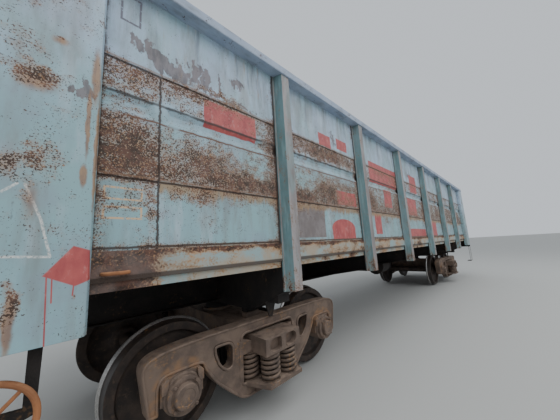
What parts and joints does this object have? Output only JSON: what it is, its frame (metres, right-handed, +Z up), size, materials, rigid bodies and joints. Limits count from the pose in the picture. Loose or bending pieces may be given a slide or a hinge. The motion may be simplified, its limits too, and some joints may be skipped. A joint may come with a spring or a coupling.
{
  "type": "open bogie wagon with drop floor hatches",
  "caption": "Open-topped steel rail wagon with ribbed sides, blind ends, drop floor hatches hinged at the centre sill, swivelling bogies, turning wheelsets and claw couplers",
  "frame": {"origin": "on the ground plane at the lowest point of the wheel flanges, under the middle of the wagon", "axes": "+X along the wagon, +Y across it to the far side of the picture, +Z up"},
  "size_m": [14.13, 3.134, 3.518],
  "materials": {
    "body_paint": "weathered gloss",
    "post_paint": "weathered gloss",
    "chord_paint": "weathered gloss",
    "rusty_steel": "matte",
    "underframe_steel": "matte",
    "cast_steel": "matte",
    "wheel_steel": "satin",
    "spring_steel": "matte"
  },
  "bodies": {
    "wagon": {"air_reservoir": "underframe_steel", "body_bolsters": "underframe_steel", "brake_cylinder": "underframe_steel", "brake_pipe": "underframe_steel", "centre_sill": "underframe_steel", "corner_posts": "body_paint", "corner_steps": "underframe_steel", "coupler_left": "cast_steel", "coupler_right": "cast_steel", "cross_beams": "underframe_steel", "draft_gears": "cast_steel", "end_beams": "underframe_steel", "end_chords": "chord_paint", "end_floors": "rusty_steel", "end_wall_left": "chord_paint", "end_wall_right": "chord_paint", "hand_brake": "underframe_steel", "hatch_brackets": "underframe_steel", "lower_chord_far": "rusty_steel", "lower_chord_near": "rusty_steel", "side_posts_far": "post_paint", "side_posts_near": "post_paint", "side_wall_far": "body_paint", "side_wall_near": "body_paint", "top_chord_far": "chord_paint", "top_chord_near": "chord_paint"},
    "bogie_left": {"axle_boxes_left": "cast_steel", "bolster_left": "cast_steel", "brake_beams_left": "underframe_steel", "side_frames_left": "cast_steel", "springs_left": "spring_steel", "wedges_left": "cast_steel"},
    "bogie_right": {"axle_boxes_right": "cast_steel", "bolster_right": "cast_steel", "brake_beams_right": "underframe_steel", "side_frames_right": "cast_steel", "springs_right": "spring_steel", "wedges_right": "cast_steel"},
    "wheelset_1": {"axle_1": "wheel_steel", "wheels_1": "wheel_steel"},
    "wheelset_2": {"axle_2": "wheel_steel", "wheels_2": "wheel_steel"},
    "wheelset_3": {"axle_3": "wheel_steel", "wheels_3": "wheel_steel"},
    "wheelset_4": {"axle_4": "wheel_steel", "wheels_4": "wheel_steel"},
    "hatch_far_1": {"hatch_far_1": "rusty_steel"},
    "hatch_far_2": {"hatch_far_2": "rusty_steel"},
    "hatch_far_3": {"hatch_far_3": "rusty_steel"},
    "hatch_far_4": {"hatch_far_4": "rusty_steel"},
    "hatch_far_5": {"hatch_far_5": "rusty_steel"},
    "hatch_far_6": {"hatch_far_6": "rusty_steel"},
    "hatch_far_7": {"hatch_far_7": "rusty_steel"},
    "hatch_near_1": {"hatch_near_1": "rusty_steel"},
    "hatch_near_2": {"hatch_near_2": "rusty_steel"},
    "hatch_near_3": {"hatch_near_3": "rusty_steel"},
    "hatch_near_4": {"hatch_near_4": "rusty_steel"},
    "hatch_near_5": {"hatch_near_5": "rusty_steel"},
    "hatch_near_6": {"hatch_near_6": "rusty_steel"},
    "hatch_near_7": {"hatch_near_7": "rusty_steel"}
  },
  "joints": [
    {"name": "bogie_swivel_left", "type": "hinge", "parent": "wagon", "child": "bogie_left", "pos_m": [-4.325, 0, 0.798], "axis": [0, 0, 1], "range_deg": [-4, 4]},
    {"name": "bogie_swivel_right", "type": "hinge", "parent": "wagon", "child": "bogie_right", "pos_m": [4.325, 0, 0.798], "axis": [0, 0, 1], "range_deg": [-4, 4]},
    {"name": "wheelset_turn_1", "type": "hinge", "parent": "bogie_left", "child": "wheelset_1", "pos_m": [-5.25, 0, 0.503], "axis": [0, 1, 0], "continuous": true},
    {"name": "wheelset_turn_2", "type": "hinge", "parent": "bogie_left", "child": "wheelset_2", "pos_m": [-3.4, 0, 0.503], "axis": [0, 1, 0], "continuous": true},
    {"name": "wheelset_turn_3", "type": "hinge", "parent": "bogie_right", "child": "wheelset_3", "pos_m": [3.4, 0, 0.503], "axis": [0, 1, 0], "continuous": true},
    {"name": "wheelset_turn_4", "type": "hinge", "parent": "bogie_right", "child": "wheelset_4", "pos_m": [5.25, 0, 0.503], "axis": [0, 1, 0], "continuous": true},
    {"name": "hatch_drop_far_1", "type": "hinge", "parent": "wagon", "child": "hatch_far_1", "pos_m": [-5.19, 0.118, 1.399], "axis": [-1, 0, 0], "range_deg": [0, 26]},
    {"name": "hatch_drop_far_2", "type": "hinge", "parent": "wagon", "child": "hatch_far_2", "pos_m": [-3.46, 0.118, 1.399], "axis": [-1, 0, 0], "range_deg": [0, 26]},
    {"name": "hatch_drop_far_3", "type": "hinge", "parent": "wagon", "child": "hatch_far_3", "pos_m": [-1.73, 0.118, 1.399], "axis": [-1, 0, 0], "range_deg": [0, 26]},
    {"name": "hatch_drop_far_4", "type": "hinge", "parent": "wagon", "child": "hatch_far_4", "pos_m": [0, 0.118, 1.399], "axis": [-1, 0, 0], "range_deg": [0, 26]},
    {"name": "hatch_drop_far_5", "type": "hinge", "parent": "wagon", "child": "hatch_far_5", "pos_m": [1.73, 0.118, 1.399], "axis": [-1, 0, 0], "range_deg": [0, 26]},
    {"name": "hatch_drop_far_6", "type": "hinge", "parent": "wagon", "child": "hatch_far_6", "pos_m": [3.46, 0.118, 1.399], "axis": [-1, 0, 0], "range_deg": [0, 26]},
    {"name": "hatch_drop_far_7", "type": "hinge", "parent": "wagon", "child": "hatch_far_7", "pos_m": [5.19, 0.118, 1.399], "axis": [-1, 0, 0], "range_deg": [0, 26]},
    {"name": "hatch_drop_near_1", "type": "hinge", "parent": "wagon", "child": "hatch_near_1", "pos_m": [-5.19, -0.118, 1.399], "axis": [1, 0, 0], "range_deg": [0, 26]},
    {"name": "hatch_drop_near_2", "type": "hinge", "parent": "wagon", "child": "hatch_near_2", "pos_m": [-3.46, -0.118, 1.399], "axis": [1, 0, 0], "range_deg": [0, 26]},
    {"name": "hatch_drop_near_3", "type": "hinge", "parent": "wagon", "child": "hatch_near_3", "pos_m": [-1.73, -0.118, 1.399], "axis": [1, 0, 0], "range_deg": [0, 26]},
    {"name": "hatch_drop_near_4", "type": "hinge", "parent": "wagon", "child": "hatch_near_4", "pos_m": [0, -0.118, 1.399], "axis": [1, 0, 0], "range_deg": [0, 26]},
    {"name": "hatch_drop_near_5", "type": "hinge", "parent": "wagon", "child": "hatch_near_5", "pos_m": [1.73, -0.118, 1.399], "axis": [1, 0, 0], "range_deg": [0, 26]},
    {"name": "hatch_drop_near_6", "type": "hinge", "parent": "wagon", "child": "hatch_near_6", "pos_m": [3.46, -0.118, 1.399], "axis": [1, 0, 0], "range_deg": [0, 26]},
    {"name": "hatch_drop_near_7", "type": "hinge", "parent": "wagon", "child": "hatch_near_7", "pos_m": [5.19, -0.118, 1.399], "axis": [1, 0, 0], "range_deg": [0, 26]}
  ]
}
